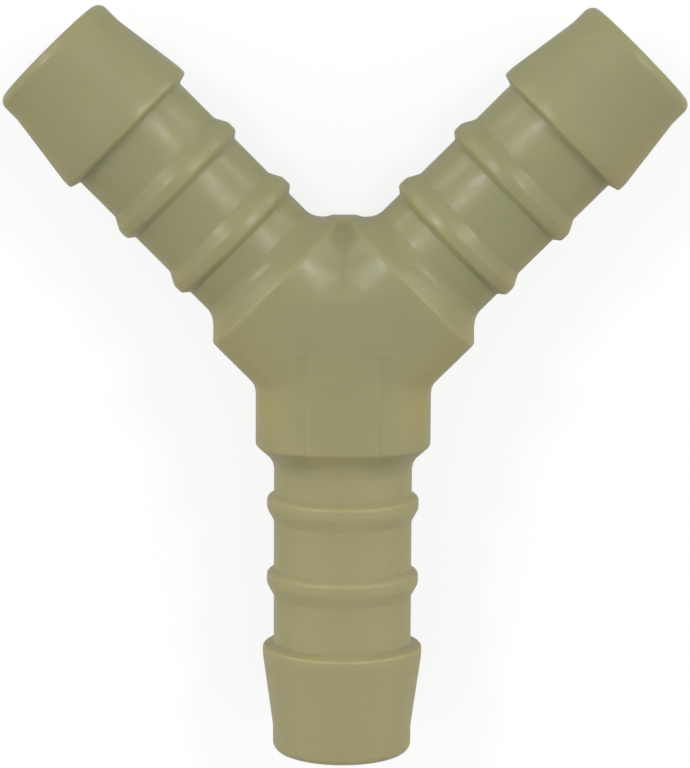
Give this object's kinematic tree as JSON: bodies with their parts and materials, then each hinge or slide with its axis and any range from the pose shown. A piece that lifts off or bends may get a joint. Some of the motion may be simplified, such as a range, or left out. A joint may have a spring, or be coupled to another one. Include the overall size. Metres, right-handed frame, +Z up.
{
  "type": "barbed y hose connector",
  "caption": "Y-shaped plastic hose connector: barbed tails of equal size join at a hub with flat Y-shaped pads, with a passage from each mouth to the middle.",
  "frame": {"origin": "on the hub's lower pad, straight below the point where the three axes cross", "axes": "+Z up, square to the plane of the three axes; +Y midway between the two arms, so that the stem points along -Y"},
  "size_m": [0.0584, 0.065, 0.0152],
  "materials": {
    "natural_nylon": "satin, slightly translucent, as moulded"
  },
  "bodies": {
    "root": {"connector_body": "natural_nylon"}
  },
  "joints": []
}
